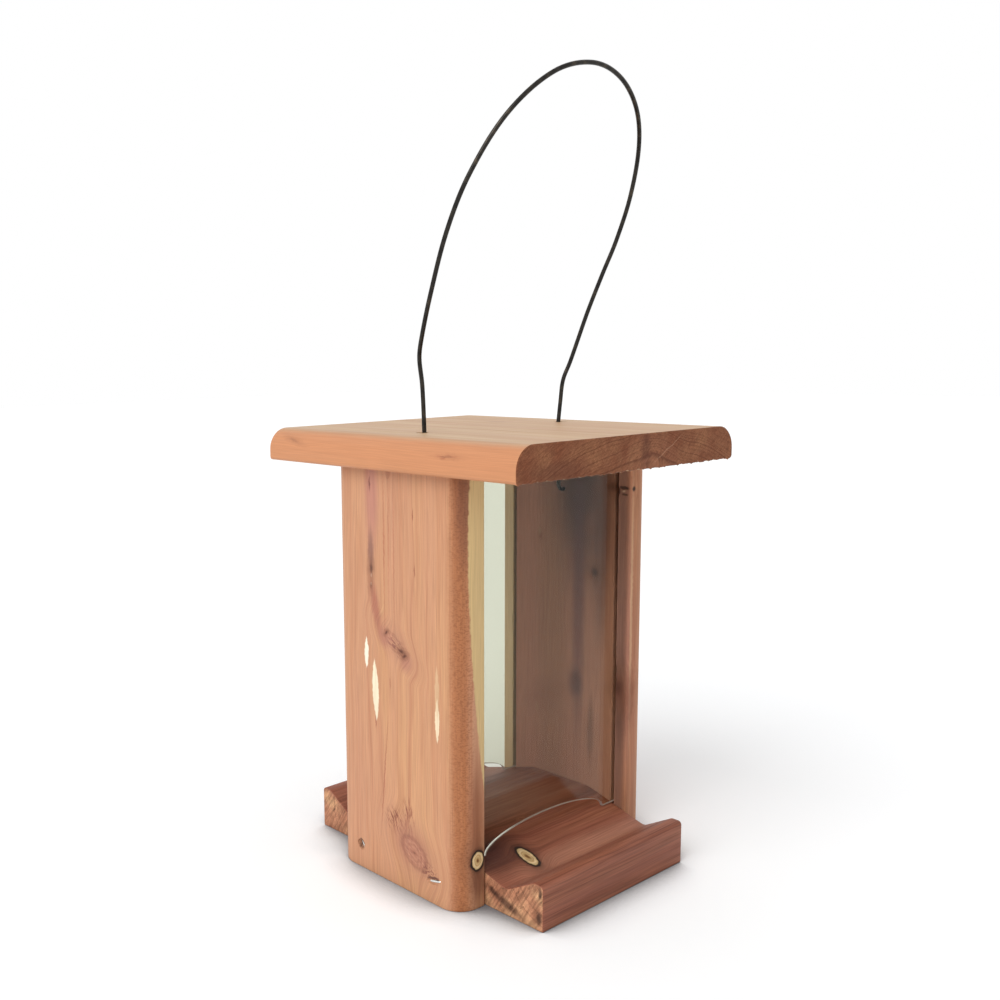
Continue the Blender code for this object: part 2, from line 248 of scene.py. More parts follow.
def cedar(name, wood, sawnEnd=False):
    if sawnEnd:
        wood = {**wood, **wood["end"]}
    material, tree, shader = newMaterial(name)
    objectPlace = addNode(tree, "TexCoord").outputs["Object"]
    place = addNode(tree, "VectorMath", {0: objectPlace, "Scale": 1 / mm}, operation="SCALE")
    half = (0.5, 0.5, 0.5)               # a noise's mean
    waver = addNode(tree, "TexNoise", {"Vector": place, "Scale": cedarGrain["waverScale"], "Detail": 3.0})
    waver = addNode(tree, "VectorMath", {0: waver.outputs["Color"], 1: half}, operation="SUBTRACT")
    reach = [cedarGrain["waverReach"]] * 3
    ragged = addNode(tree, "VectorMath", {0: waver, 1: reach, 2: place}, operation="MULTIPLY_ADD")

    # the grain flows round each knot: near one, the place is pulled towards its centre
    bent = place
    knots = []
    for knot in wood["knots"]:
        distance = ownFrame(tree, ragged, knot)[1]
        pull = addNode(tree, "MapRange", {
            "Value": distance, "From Max": cedarGrain["knotPull"], "To Min": knot.get("bend", 0.8), "To Max": 0.0,
        }, interpolation_type="SMOOTHSTEP")
        offset = addNode(tree, "VectorMath", {0: place, 1: knot["at"]}, operation="SUBTRACT")
        offset = addNode(tree, "VectorMath", {0: offset, "Scale": pull}, operation="SCALE")
        bent = addNode(tree, "VectorMath", {0: bent, 1: offset}, operation="SUBTRACT")
        knots.append((knot, distance))

    # turned so that the grain runs along Z, with the pith on the axis
    fromPith = addNode(tree, "VectorMath", {0: bent, 1: wood["pith"]}, operation="SUBTRACT")
    grain = addNode(tree, "Mapping", {
        "Vector": fromPith, "Rotation": [math.radians(angle) for angle in wood["turnToZ"]],
    })
    drift = patchy(tree, grain, cedarGrain["driftSize"]).outputs["Color"]
    drift = addNode(tree, "VectorMath", {0: drift, 1: half}, operation="SUBTRACT")
    reach = (wood["drift"], wood["drift"], 0.0)
    grain = addNode(tree, "VectorMath", {0: drift, 1: reach, 2: grain}, operation="MULTIPLY_ADD")
    across = addNode(tree, "VectorMath", {0: grain, 1: (1, 1, 0)}, operation="MULTIPLY")
    radius = addNode(tree, "VectorMath", {0: across}, operation="LENGTH").outputs["Value"]
    # years differ: the ring count runs faster and slower along the radius
    years = addNode(
        tree, "TexNoise", {"W": radius, "Scale": cedarGrain["yearPace"], "Detail": 1.0}, noise_dimensions="1D")
    count = addNode(tree, "Math", {0: radius, 1: wood["ringWidth"]}, operation="DIVIDE")
    count = addNode(tree, "Math", {0: years, 1: cedarGrain["yearSwing"], 2: count}, operation="MULTIPLY_ADD")
    phase = addNode(tree, "Math", {0: count}, operation="FRACT")
    late = addNode(tree, "ValToRGB", {"Fac": phase}, stops=yearTone)
    year = addNode(tree, "Math", {0: count}, operation="FLOOR")
    year = addNode(tree, "TexWhiteNoise", {"W": year}, noise_dimensions="1D").outputs["Value"]
    year = addNode(tree, "Math", {0: year, 1: cedarGrain["yearSpread"]}, operation="POWER")
    lineStrength = addNode(tree, "MapRange", {"Value": year, "To Min": cedarGrain["quietYear"]})
    late = addNode(tree, "Math", {0: late, 1: lineStrength}, operation="MULTIPLY")

    fine = patchy(tree, grain, cedarGrain["fine"])
    streak = patchy(tree, grain, cedarGrain["streak"])
    broad = patchy(tree, grain, cedarGrain["broad"], 1.0)

    colour = addNode(tree, "ValToRGB", {"Fac": broad}, stops=[
        (0.30, wood["rosy"], 1), (0.50, wood["middle"], 1), (0.70, wood["tan"], 1),
    ])
    streakShare = addNode(tree, "MapRange", {
        "Value": streak, "From Min": 0.42, "From Max": 0.72, "To Max": wood["streaks"],
    }, interpolation_type="SMOOTHSTEP")
    lateShare = addNode(tree, "Math", {0: late, 1: wood["lateShare"]}, operation="MULTIPLY")
    # layers of colour, each with the share by which it covers what is below
    layers = [(streakShare, linearColour(wood["dark"])), (lateShare, linearColour(wood["late"]))]

    for stain in wood["stains"]:
        local, distance = ownFrame(tree, ragged, stain)
        share = addNode(tree, "MapRange", {
            "Value": distance, "From Min": stain.get("core", 0.2), "To Min": stain["share"], "To Max": 0.0,
        }, interpolation_type="SMOOTHSTEP")
        if "strokes" in stain:
            # broken up into strokes of this size in the stain's own frame
            stroke = [size / radius for radius, size in zip(stain["radii"], stain["strokes"])]
            stroke = patchy(tree, local, stroke)
            stroke = addNode(tree, "MapRange", {"Value": stroke, "From Min": 0.48, "From Max": 0.60})
            share = addNode(tree, "Math", {0: share, 1: stroke}, operation="MULTIPLY")
        layers.append((share, linearColour(stain["look"])))

    # a fleck of sapwood is a lens along the grain: distance across plus squared distance along
    for fleck in wood["flecks"]:
        local = ownFrame(tree, ragged, fleck)[0]
        flat = addNode(tree, "VectorMath", {0: local, 1: (1, 1, 0)}, operation="MULTIPLY")
        flat = addNode(tree, "VectorMath", {0: flat}, operation="LENGTH").outputs["Value"]
        along = addNode(tree, "SeparateXYZ", {0: local}).outputs["Z"]
        lens = addNode(tree, "Math", {0: along, 1: along, 2: flat}, operation="MULTIPLY_ADD")
        edge, soft = cedarGrain["fleckEdge"], fleck.get("soft", 0.14)
        share = addNode(tree, "MapRange", {
            "Value": lens, "From Min": edge - soft, "From Max": edge + soft, "To Min": fleck["share"], "To Max": 0.0,
        }, interpolation_type="SMOOTHSTEP")
        layers.append((share, linearColour(fleck["look"])))

    for knot, distance in knots:
        share = addNode(tree, "Math", {0: distance, 1: knotReach}, operation="DIVIDE")
        ring = addNode(tree, "ValToRGB", {"Fac": share}, stops=[
            (at / knotReach, hexColour, alpha * knot["share"]) for at, hexColour, alpha in knotKinds[knot["look"]]
        ])
        layers.append((ring.outputs["Alpha"], ring.outputs["Color"]))

    for share, cover in layers:
        colour = addNode(tree, "Mix", {"Factor": share, "A": colour, "B": cover}, data_type="RGBA").outputs[2]

    # single fibres lighten and darken the surface
    contrast = wood["fibreContrast"]
    fineShade = addNode(tree, "MapRange", {
        "Value": fine, "From Min": 0.3, "From Max": 0.7, "To Min": 1 - contrast, "To Max": 1 + contrast})
    colour = addNode(tree, "VectorMath", {0: colour, "Scale": fineShade}, operation="SCALE").outputs[0]

    if sawnEnd:
        colour = sawMarks(tree, place, colour, wood)

    rough = wood["roughness"]
    roughness = addNode(tree, "MapRange", {
        "Value": streak, "From Min": 0.3, "From Max": 0.7, "To Min": rough - 0.06, "To Max": rough + 0.08})
    # latewood stands a little proud of the softer earlywood, and fibres leave fine furrows
    height = addNode(tree, "Math", {0: late, 1: 0.5, 2: fine}, operation="MULTIPLY_ADD")
    bump = addNode(tree, "Bump", {"Height": height, "Strength": 0.5, "Distance": cedarGrain["furrow"] * mm})
    tree.links.new(colour, shader.inputs["Base Color"])
    tree.links.new(roughness.outputs[0], shader.inputs["Roughness"])
    tree.links.new(bump.outputs[0], shader.inputs["Normal"])
    shader.inputs["IOR"].default_value = 1.5         # bare wood, near cellulose
    shader.inputs["Specular IOR Level"].default_value = wood["gloss"]
    return material


def sawMarks(tree, place, colour, wood):
    # a saw crosses the end grain: slanted scores, a darker tone, and scorched patches where it rubbed
    turn = [math.radians(angle) for angle in wood["sawTurn"]]
    sawn = addNode(tree, "Mapping", {"Vector": place, "Rotation": turn})
    scores = patchy(tree, sawn, wood["sawScore"])
    shade = addNode(tree, "MapRange", {
        "Value": scores, "From Min": 0.35, "From Max": 0.65,
        "To Min": wood["endShade"] - wood["sawContrast"], "To Max": wood["endShade"] + wood["sawContrast"],
    })
    colour = addNode(tree, "VectorMath", {0: colour, "Scale": shade}, operation="SCALE")
    patches = patchy(tree, sawn, wood["sawPatch"], 4.0, 0.6)
    scorch = addNode(tree, "MapRange", {
        "Value": patches, "From Min": wood["scorchFrom"], "From Max": wood["scorchFrom"] + wood["scorchFade"],
        "To Max": 0.85,
    }, interpolation_type="SMOOTHSTEP")
    cover = linearColour(wood["scorch"])
    return addNode(tree, "Mix", {"Factor": scorch, "A": colour, "B": cover}, data_type="RGBA").outputs[2]


def roundedOutline(corners, degreesPerStep=7.5):
    # a closed outline through corners (a, b, radius), each rounded by an arc of its radius
    points = []
    for index, (a, b, radius) in enumerate(corners):
        corner = np.array((a, b), float)
        if radius == 0:
            points.append(corner[None])
            continue
        before = np.array(corners[index - 1][:2], float) - corner
        after = np.array(corners[(index + 1) % len(corners)][:2], float) - corner
        before, after = before / np.linalg.norm(before), after / np.linalg.norm(after)
        halfAngle = math.acos(np.clip(before @ after, -1, 1)) / 2
        bisector = (before + after) / np.linalg.norm(before + after)
        centre = corner + bisector * radius / math.sin(halfAngle)
        start = corner + before * radius / math.tan(halfAngle) - centre
        sweep = math.pi - 2 * halfAngle
        turn = -math.copysign(1, before[0] * after[1] - before[1] * after[0])
        angles = turn * np.linspace(0, sweep, max(3, round(math.degrees(sweep) / degreesPerStep) + 1))
        points.append(centre + np.stack((
            np.cos(angles) * start[0] - np.sin(angles) * start[1],
            np.sin(angles) * start[0] + np.cos(angles) * start[1]), axis=1))
    return np.concatenate(points)


def subdivided(outline, spacing):
    # each run longer than the spacing is cut into equal parts
    following = np.roll(outline, -1, axis=0)
    parts = np.maximum(1, np.round(np.linalg.norm(following - outline, axis=1) / spacing)).astype(int)
    step = np.arange(parts.sum()) - np.repeat(np.cumsum(parts) - parts, parts)
    share = (step / np.repeat(parts, parts))[:, None]
    return np.repeat(outline, parts, axis=0) * (1 - share) + np.repeat(following, parts, axis=0) * share


def outwards(outline):
    # unit normals of a closed outline that runs anticlockwise: the mean of its two neighbouring edges' normals
    edge = np.roll(outline, -1, axis=0) - outline
    normal = np.stack((edge[:, 1], -edge[:, 0]), axis=1)
    normal /= np.linalg.norm(normal, axis=1)[:, None]
    both = normal + np.roll(normal, 1, axis=0)
    return both / np.maximum(np.linalg.norm(both, axis=1), 0.3)[:, None]


def ripple(u, v, seed, waves=7):
    # a smooth random field from about -1 to 1: sines with random directions, wavelengths and phases
    random = np.random.default_rng(seed)
    heading = random.uniform(0, 2 * math.pi, waves)
    stretch = random.uniform(0.6, 2.2, waves)
    phase = random.uniform(0, 7, waves)
    total = sum(
        np.sin((u * math.cos(h) + v * math.sin(h)) * s * 2 * math.pi + p)
        for h, s, p in zip(heading, stretch, phase))
    return total / waves ** 0.5 / 1.4


def shade(mesh, sharp):
    # smooth over gentle edges, crisp over the rest; a large face, such as a board's end, stays flat
    largeFace = 300 * mm * mm
    mesh.shade_smooth()
    mesh.set_sharp_from_angle(angle=math.radians(sharp))
    areas = np.empty(len(mesh.polygons))
    mesh.polygons.foreach_get("area", areas)
    mesh.polygons.foreach_set("use_smooth", areas < largeFace)


def addPiece(name, points, faces, materials, replaced=None, body=None, sharp=30, faceMaterials=None):
    # a mesh of these points, in millimetres, which rides on its body and stands for its CAD node;
    # without a node it is a cutter
    mesh = bpy.data.meshes.new(name)
    mesh.from_pydata((np.asarray(points).reshape(-1, 3) * mm).tolist(), [], faces)
    for material in materials:
        mesh.materials.append(material)
    if faceMaterials is not None:
        mesh.polygons.foreach_set("material_index", np.asarray(faceMaterials, np.int32))
    shade(mesh, sharp)
    piece = bpy.data.objects.new(name, mesh)
    bpy.context.scene.collection.objects.link(piece)
    if replaced:
        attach(piece, body)
        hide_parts(replaced)
    return piece


def gridFaces(rows, columns):
    # quads between neighbouring rows, with the last column joined to the first
    row, column = np.meshgrid(np.arange(rows - 1), np.arange(columns), indexing="ij")
    following = (column + 1) % columns
    quads = np.stack((
        row * columns + column, row * columns + following,
        (row + 1) * columns + following, (row + 1) * columns + column), axis=-1)
    return quads.reshape(-1, 4)


def endCaps(rows, columns):
    # the two faces that close a grid's first and last row
    return [list(range(columns))[::-1], [(rows - 1) * columns + column for column in range(columns)]]


def sweptStations(start, end, ease, spacing):
    # distances along a board, close together at its eased ends, with how far the outline draws in at each
    near = ease * (1 - np.cos(np.linspace(0, math.pi / 2, 4)))
    inset = ease * (1 - np.sin(np.linspace(0, math.pi / 2, 4)))
    middle = np.linspace(start + ease, end - ease, max(2, round((end - start) / spacing) + 1))[1:-1]
    stations = np.concatenate((start + near, middle, (end - near)[::-1]))
    return stations, np.concatenate((inset, np.zeros(len(middle)), inset[::-1]))


def sweptBoard(outline, stations, inset, axes, reshape=None):
    # the outline carried along the stations; axes are the world directions of its two coordinates and of the sweep
    drawn = outline[None] - outwards(outline)[None] * inset[:, None, None]
    along = np.broadcast_to(stations[:, None], drawn.shape[:2])
    if reshape:
        drawn, along = reshape(drawn, along)
    turn = np.array(axes, float)
    points = np.concatenate((drawn, along[..., None]), axis=2) @ turn
    rows, columns = drawn.shape[:2]
    faces = gridFaces(rows, columns).tolist() + endCaps(rows, columns)
    if np.linalg.det(turn) < 0:          # a left-handed sweep turns its faces inwards
        faces = [face[::-1] for face in faces]
    return points.reshape(-1, 3), faces, [0] * (len(faces) - 2) + [1, 1]


def carve(piece, cutters):
    # cuts shapes out of a piece, for good
    for cutter in cutters:
        modifier = piece.modifiers.new("cut", "BOOLEAN")
        modifier.object = cutter
        modifier.solver = "EXACT"
    graph = bpy.context.evaluated_depsgraph_get()
    carved = bpy.data.meshes.new_from_object(piece.evaluated_get(graph))
    piece.modifiers.clear()
    piece.data = carved
    shade(carved, 30)
    for cutter in cutters:
        bpy.data.objects.remove(cutter, do_unlink=True)


def dentCutter(at, radii, tilt, seed):
    # a lumpy ellipsoid round a point on a panel's face: radii through, along and across, turned about X
    rings, sides = 15, 28
    theta, phi = np.meshgrid(
        np.linspace(0, math.pi, rings), np.linspace(0, 2 * math.pi, sides + 1)[:-1], indexing="ij")
    swell = 1 + 0.16 * ripple(np.cos(theta), np.sin(theta) * np.cos(phi) + 0.4 * np.sin(phi), seed)
    through = radii[0] * swell * np.cos(theta)
    alongY = radii[1] * swell * np.sin(theta) * np.cos(phi)
    acrossZ = radii[2] * swell * np.sin(theta) * np.sin(phi)
    c, s = math.cos(math.radians(tilt)), math.sin(math.radians(tilt))
    points = np.stack(
        (at[0] + through, at[1] + alongY * c - acrossZ * s, at[2] + alongY * s + acrossZ * c), axis=-1)
    cutter = addPiece("dent cutter", points, gridFaces(rings, sides).tolist(), [])
    closeShape(cutter.data)
    return cutter


def closeShape(mesh):
    # merges a surface's seam and poles, and turns its faces outwards
    shape = bmesh.new()
    shape.from_mesh(mesh)
    bmesh.ops.remove_doubles(shape, verts=shape.verts, dist=0.001 * mm)
    bmesh.ops.recalc_face_normals(shape, faces=shape.faces)
    shape.to_mesh(mesh)
    shape.free()


panelShape = {
    "outerRound": 13.0,          # the two outer upright edges
    "innerEase": 1.5,
    "endEase": 0.5,
    "kerfPlay": 0.5,             # from a pane's face to the side of its kerf
    "kerfEnd": 0.5,              # from a pane's edge to the kerf's floor
    "lipEase": 0.12,             # a kerf's lips, where nothing is torn
    "tear": 0.9,                 # the deepest splinter lost from one
    "bow": 0.12,                 # how far the planed outer face wavers
    "rowSpacing": 1.6,
}
# flat-sawn aromatic cedar, planed: rosy tan heartwood, thin darker rings, cream sapwood and purple stains
leftWood = {
    "pith": (-112.0, 2.0, 0.0),
    "turnToZ": (0, 0, 0),
    "ringWidth": 2.3,
    "drift": 8.0,
    "rosy": "#C18D6D", "middle": "#C38F6C", "tan": "#C6946C",
    "dark": "#B27A5A", "late": "#9A5C44", "streaks": 0.45, "lateShare": 0.4,
    "fibreContrast": 0.10, "roughness": 0.55, "gloss": 0.3,
    "knots": [
        mark((-78.7, -1.5, 136), (14, 9.5, 3.8), "live", 0.6, turn=34),
        mark((-78.7, -15.5, 23.4), (18, 11.5, 7.2), "live", 0.85, turn=32),
        mark((-78.7, 16.6, 174), (9, 1.7, 3.6), "pin", 0.85, bend=0.6),
        mark((-78.7, 16.9, 164.5), (6, 1.3, 2.4), "pin", 0.6, bend=0.5),
        mark((-78.7, -6.6, 132.6), (5, 2.4, 1.2), "pin", turn=12),
        mark((-78.7, -9.4, 130.4), (5, 1.9, 1.1), "pin", turn=-20),
        mark((-78.7, 5.2, 140.6), (5, 1.6, 0.8), "pin", turn=-35),
        mark((-64.9, -49.3, 26.6), (4.4, 9, 5.4), "pale", bend=0.7),
    ],
    "stains": [
        mark((-78.7, 15.5, 214), (14, 8, 42), "#AE726A", 0.6),
        mark((-78.7, 17.2, 220), (6, 0.9, 5.5), "#6E3C34", 0.8),
        mark((-78.7, 16.8, 183), (8, 3.6, 18), "#7E564C", 0.75),
        mark((-78.7, 13.6, 153), (8, 5, 24), "#A0604E", 0.75, turn=-12),
        mark((-78.7, 6.5, 138), (8, 7, 8), "#A4695C", 0.5),
        mark((-78.7, -11, 127), (8, 7, 8), "#A0665A", 0.45),
        # swirled strokes round the two live knots
        mark((-78.7, -3, 134.5), (8, 13, 6), "#743E3A", 0.9, turn=34, strokes=(3, 3.4, 0.9)),
        mark((-78.7, 0, 37), (8, 10, 10), "#6E3428", 0.95, turn=-30, strokes=(3, 0.9, 5)),
        mark((-78.7, -11, 42), (8, 6.5, 15), "#7A3E2E", 0.9, turn=-6, strokes=(3, 0.8, 6)),
        mark((-78.7, -26, 17), (8, 10, 6.5), "#6A382C", 0.95, turn=25, strokes=(3, 1.6, 1.2)),
        mark((-78.7, -15.5, 24), (9, 17, 10.5), "#6E382E", 0.8, turn=30, strokes=(3, 4, 0.9)),
        mark((-78.7, -14, 26), (10, 21, 16), "#A46C58", 0.5, turn=30),
        # a few stronger year lines, and two resin ticks
        mark((-78.7, 6.2, 182), (5, 0.7, 80), "#A0583E", 0.5),
        mark((-78.7, 2.4, 190), (5, 0.6, 60), "#A0583E", 0.4),
        mark((-78.7, -1.6, 186), (5, 0.7, 64), "#A0583E", 0.4),
        mark((-78.7, -16.5, 206), (4, 0.6, 4.5), "#8A4E38", 0.8),
        mark((-78.7, -17.7, 177), (4, 0.6, 4.5), "#8A4E38", 0.7),
        mark((-78.7, 8, 60), (5, 0.7, 52), "#96543C", 0.6, turn=6),
        mark((-78.7, 14.6, 90), (5, 0.7, 6), "#8E4A36", 0.8),
        # painted shade: the rounded front edge is painted darker brown where it turns from the key light, darkest
        # under the roof and darker towards the foot by the tray, with fuzz across the grain
        mark((-74.1, -46.2, 120), (8, 10, 900), "#A2633A", 0.85, turn=(0, 0, -40)),
        mark((-73, -46.8, 120), (9, 10, 900), "#7E4A2E", 0.5, turn=(0, 0, -40), strokes=(1.5, 1.5, 0.8)),
        mark((-72.5, -47.5, 214), (6, 10, 50), "#6A4030", 0.6),
        mark((-65.5, -49.3, 48), (7.5, 10, 52), "#82492D", 0.75),
        mark((-64, -49.3, 14), (9, 10, 15), "#5E3226", 0.6),
        # staple holes, with painted shade: their dents are painted dark where shade falls in them
        mark((-78.7, -29.8, 14.3), (3, 5.6, 1.2), "#3E2218", 0.95, turn=-13, core=0.5),
        mark((-78.7, 28.7, 14), (6, 3, 3.6), "#3A2018", 0.95, turn=20, core=0.6),
    ],
    "flecks": [
        mark((-78.7, 21.6, 126.6), (6, 2, 9.4), "#F0E8D2", 0.95),
        mark((-78.7, 14.5, 107), (6, 3, 18.5), "#EBDEC0", 0.95, turn=-2),
        mark((-78.7, -33.7, 101), (6, 1.9, 13), "#E8D4B2", 0.95),
        mark((-78.7, -33.7, 116), (6, 1.7, 16), "#D9BA92", 0.5),
        mark((-78.7, 16.6, 170.4), (4, 0.7, 1.3), "#D4AC90", 0.8),
        mark((-78.7, 16.9, 165.6), (4, 0.7, 1.2), "#D4AC90", 0.8),
        mark((-58, -49.3, 190), (14.5, 30, 150), "#CAAD7A", 0.95, soft=0.04),
    ],
    "sawTurn": (0, 0, 25), "sawScore": (0.5, 8.0, 8.0), "sawPatch": (3.0, 9.0, 9.0),
    "sawContrast": 0.12, "endShade": 0.85, "scorchFrom": 0.72, "scorchFade": 0.07, "scorch": "#33241D",
    "end": {"rosy": "#A87050", "middle": "#B07A56", "tan": "#B8845E", "lateShare": 0.6, "drift": 3.0, "gloss": 0.15},
}
# the right panel is browner, with a smoky purple inner face
rightWood = {
    "pith": (110.0, -12.0, 0.0),
    "turnToZ": (0, 0, 0),
    "ringWidth": 2.4,
    "drift": 8.0,
    "rosy": "#A86F54", "middle": "#AE7756", "tan": "#B4825A",
    "dark": "#8F5B42", "late": "#7E4632", "streaks": 0.5, "lateShare": 0.45,
    "fibreContrast": 0.12, "roughness": 0.6, "gloss": 0.3,
    "knots": [
        mark((59.2, -24, 158.5), (14, 3.2, 3.4), "pin"),
        mark((59.2, -36, 210), (4, 5, 3.6), "pin", 0.6),
        mark((59.2, -43, 92), (8, 3.5, 7), "pin", 0.8),
        mark((59.2, 17.7, 176), (6, 1.5, 2.4), "pin", 0.4),
        mark((78.7, 12, 76), (16, 9, 5), "live", turn=-30),
        mark((78.7, -20, 188), (12, 2.2, 4), "live", turn=10),
    ],
    "stains": [
        mark((57, 0, 120), (14, 56, 300), "#C28A78", 0.9, core=0.75),
        # painted shade: the top of the inner face is darker under the roof
        mark((59.2, -10, 222), (9, 36, 100), "#452C2E", 0.9),
        mark((59.2, 8, 120), (9, 18, 200), "#A87C62", 0.5),
        mark((59.2, -12, 140), (9, 7, 120), "#6A4650", 0.6),
        mark((59.2, -28, 180), (9, 8, 90), "#6A4238", 0.6),
        mark((59.2, 4, 220), (9, 7, 14), "#4E3438", 0.7),
        mark((59.2, -10, 88), (9, 8, 14), "#5C4448", 0.6),
        mark((59.2, -22, 60), (9, 4, 30), "#6A4C44", 0.5),
        # painted shade: the inner face's strip in front of the front kerf is darker
        mark((59.2, -44, 120), (6, 6.5, 300), "#7E5C4E", 0.8),
        mark((59.2, -44, 84), (6, 7, 40), "#54342A", 0.5),
        mark((78.7, 12, 80), (14, 14, 40), "#8A5648", 0.4),
        # painted light: the rounded front edge is lighter where it faces the key light
        mark((74.1, -46.2, 120), (10, 12, 900), "#BE8A68", 0.7, turn=(0, 0, 40)),
        # painted highlight: a light line along the front face by the inner corner
        mark((61.8, -49.3, 140), (1.7, 6, 110), "#D4AE88", 0.5),
        # a dead knot's dark swirl round the front corner
        mark((59.2, -44.8, 210), (4, 4.4, 1.3), "#1C1110", 0.95, core=0.5),
        mark((59.2, -41.2, 208), (4, 1.3, 2.6), "#1C1110", 0.95, core=0.5),
        mark((59.2, -45.4, 206.4), (4, 3, 0.9), "#1C1110", 0.8, core=0.4),
        mark((62.4, -49.3, 209.6), (2, 4, 2), "#241512", 0.95, core=0.4),
        mark((62, -49.3, 85), (6, 8, 26), "#7A4430", 0.5),
    ],
    "flecks": [
        mark((78.7, -30, 60), (6, 1.6, 16), "#DFC9A0", 0.95),
        mark((58, 45, 120), (12, 7, 500), "#EACDA8", 0.95),
        mark((59.2, 18.6, 178.5), (5, 1.5, 2.6), "#C8A084", 0.55),
        mark((59.2, 20, 66), (5, 1.3, 3.2), "#C8A084", 0.5),
        mark((60.2, -44.6, 208.2), (4, 1.3, 0.7), "#C8A88A", 0.8),
        # pale splinters on the front kerf's lip
        mark((59.2, -39.5, 158), (1.6, 0.9, 2.2), "#D0B098", 0.9),
        mark((59.2, -39.5, 121), (1.6, 0.8, 1.6), "#D0B098", 0.9),
        mark((59.2, -39.5, 112), (1.6, 0.9, 3), "#C8A48C", 0.7),
        mark((59.2, 39.4, 150), (1.6, 0.8, 12), "#C8A48C", 0.7),
    ],
    "sawTurn": (0, 0, -20), "sawScore": (0.5, 8.0, 8.0), "sawPatch": (3.0, 9.0, 9.0),
    "sawContrast": 0.12, "endShade": 0.85, "scorchFrom": 0.72, "scorchFade": 0.07, "scorch": "#33241D",
    "end": {"rosy": "#A06A4E", "middle": "#A87352", "tan": "#B07C58", "lateShare": 0.6, "drift": 3.0, "gloss": 0.15},
}
stapleDents = {                  # through, along and across each crown
    "left_front": (1.3, 5.6, 1.7),
    "left_back": (2.6, 3.4, 2.6),
    "right_front": (1.2, 5.4, 1.5),
    "right_back": (1.2, 5.4, 1.5),
}
stapleTilts = {"front": -13.0, "back": 62.0}


def panelOutline(low, high, side, tear):
    # seen from above, anticlockwise: a board with two rounded outer edges and two pane kerfs in its inner face
    paneLow, paneHigh = boxOf("window_back")
    inner, outer = (low[0], high[0]) if side > 0 else (-high[0], -low[0])
    kerfFloor = paneHigh[0] + panelShape["kerfEnd"]
    kerfNear = paneLow[1] - panelShape["kerfPlay"]
    kerfFar = paneHigh[1] + panelShape["kerfPlay"]
    half = [
        (inner, kerfNear - tear, 0), (inner + tear, kerfNear, 0),
        (kerfFloor, kerfNear, 0), (kerfFloor, kerfFar, 0),
        (inner + tear, kerfFar, 0), (inner, kerfFar + tear, 0),
        (inner, high[1], panelShape["innerEase"]),
        (outer, high[1], panelShape["outerRound"]),
    ]
    corners = half + [(x, -y, radius) for x, y, radius in reversed(half)]
    outline = roundedOutline(corners)[::-1]
    return outline if side > 0 else (outline * (-1, 1))[::-1]


def makePanel(name, side, wood):
    low, high = boxOf(name)
    whole = panelOutline(low, high, side, panelShape["lipEase"])
    tornBy = panelOutline(low, high, side, panelShape["lipEase"] + 1) - whole
    stations, inset = sweptStations(low[2], high[2], panelShape["endEase"], panelShape["rowSpacing"])

    def tearLips(drawn, along):
        # splinters break out of the kerfs' lips here and there
        loss = np.clip(ripple(along / 17, drawn[..., 1] / 7, 11 + side) - 0.15, 0, 1) ** 1.5
        loss = loss + 0.25 * np.clip(ripple(along / 3.1, drawn[..., 1] / 3, 23 + side), 0, 1)
        wave = panelShape["bow"] * (ripple(along / 70, drawn[..., 1] / 50, 31 + side) - 1)
        inwards = np.sign(drawn[..., 0]) * (np.abs(drawn[..., 0]) > np.abs(whole[:, 0]).max() - 3) * wave
        drawn = drawn + tornBy[None] * (loss * panelShape["tear"])[..., None]
        drawn[..., 0] += np.where(inset[:, None] > 0, 0, inwards)
        return drawn, along

    axes = ((1, 0, 0), (0, 1, 0), (0, 0, 1))
    points, faces, groups = sweptBoard(whole, stations, inset, axes, tearLips)
    face = cedar("planed cedar, " + name.replace("_", " "), wood)
    end = cedar("sawn cedar end, " + name.replace("_", " "), wood, sawnEnd=True)
    panel = addPiece(
        name + "_board", points, faces, [face, end], name, "feeder_body", faceMaterials=groups)
    word = "left" if side < 0 else "right"
    cutters = []
    for placeWord, tilt in stapleTilts.items():
        crownLow, crownHigh = boxOf("staple_" + word + "_" + placeWord)
        middle = (crownLow + crownHigh) / 2
        at = (high[0] if side > 0 else low[0], middle[1], middle[2])
        cutters.append(dentCutter(at, stapleDents[word + "_" + placeWord], tilt, 5 + len(cutters)))
    carve(panel, cutters)


makePanel("side_panel_left", -1, leftWood)
makePanel("side_panel_right", 1, rightWood)
print("side panels made")

trayShape = {
    "crownHalfWidth": 21.5, "crownRound": 12.0,
    "valleyHeight": 14.0, "valleyRound": 6.0,
    "lipHeight": 24.4, "lipThickness": 6.3, "lipSlopeRun": 18.7,
    "lipInnerRound": 3.0, "lipOuterRound": 2.2,
    "bottomEase": 0.8, "endEase": 0.35, "rowSpacing": 4.0,
}
